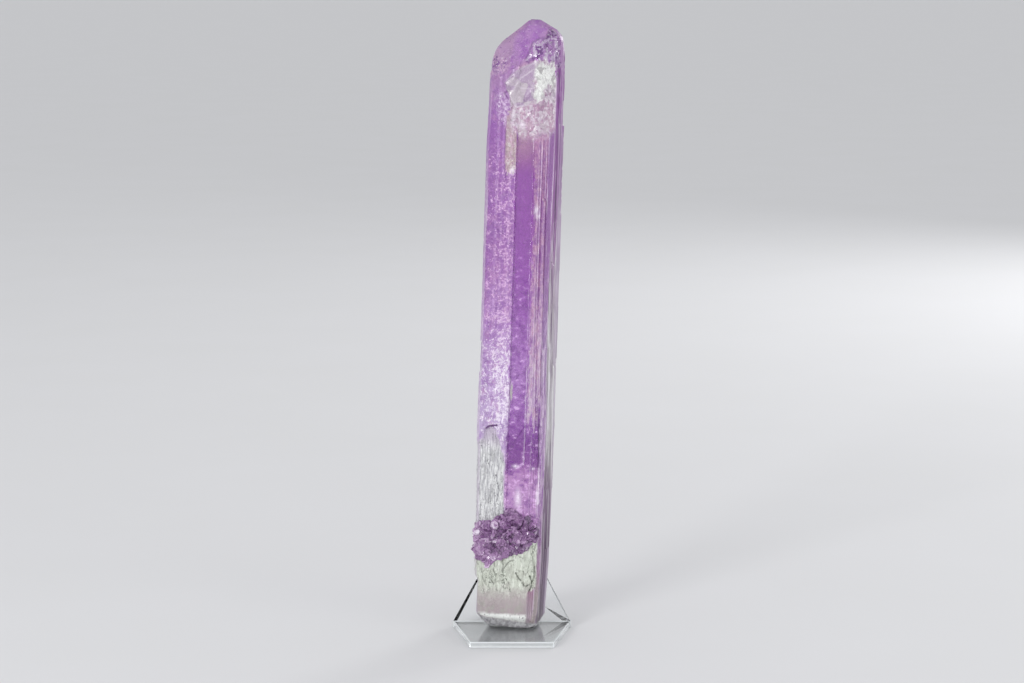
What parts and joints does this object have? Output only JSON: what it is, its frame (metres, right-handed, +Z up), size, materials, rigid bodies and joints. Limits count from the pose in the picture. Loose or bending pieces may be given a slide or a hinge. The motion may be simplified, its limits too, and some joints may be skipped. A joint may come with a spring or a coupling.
{
  "type": "kunzite crystal on a display easel",
  "caption": "Tall bladed kunzite crystal with lengthwise striations, a chisel top, a broken scar and a crust of purple mica, standing upright on a small clear acrylic easel.",
  "frame": {"origin": "on the table, under the middle of the crystal's foot", "axes": "+Z up along the crystal's length, -Y towards the front of the specimen, +X to its right as seen from the front"},
  "size_m": [0.049, 0.059, 0.2511],
  "materials": {
    "kunzite": "striated, clear to cloudy pink-violet",
    "acrylic": "clear polished sheet"
  },
  "bodies": {
    "root": {"kunzite_crystal": "kunzite", "acrylic_easel": "acrylic"}
  },
  "joints": []
}
